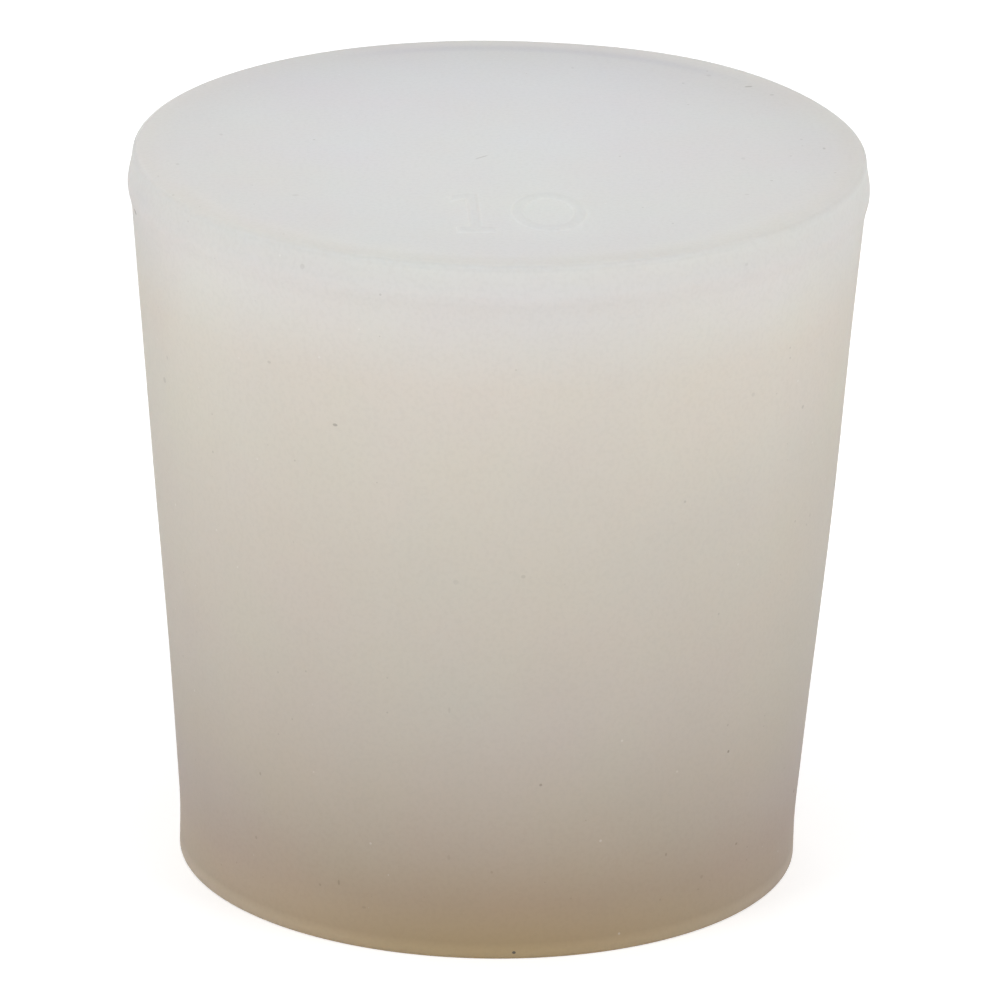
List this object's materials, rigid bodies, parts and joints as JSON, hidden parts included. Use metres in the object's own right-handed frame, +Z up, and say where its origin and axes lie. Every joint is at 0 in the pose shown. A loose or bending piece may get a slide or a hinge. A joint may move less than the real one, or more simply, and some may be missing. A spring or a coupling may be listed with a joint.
{
  "type": "rubber stopper",
  "caption": "Solid tapered rubber stopper with a flat top, a fine moulded bead under the top edge and a short straight land at the foot.",
  "frame": {"origin": "centre of the foot's flat face, which the stopper stands on", "axes": "+Z up the stopper's axis, from the small foot to the large top face; the form is round, so +X and +Y are free, and the size number on the top face reads from the -Y side"},
  "size_m": [0.0506, 0.0506, 0.051],
  "materials": {
    "silicone_rubber": "milky translucent silicone rubber, satin to matt, warm towards the foot, with a few specks of dust"
  },
  "bodies": {
    "root": {"stopper": "silicone_rubber"}
  },
  "joints": []
}
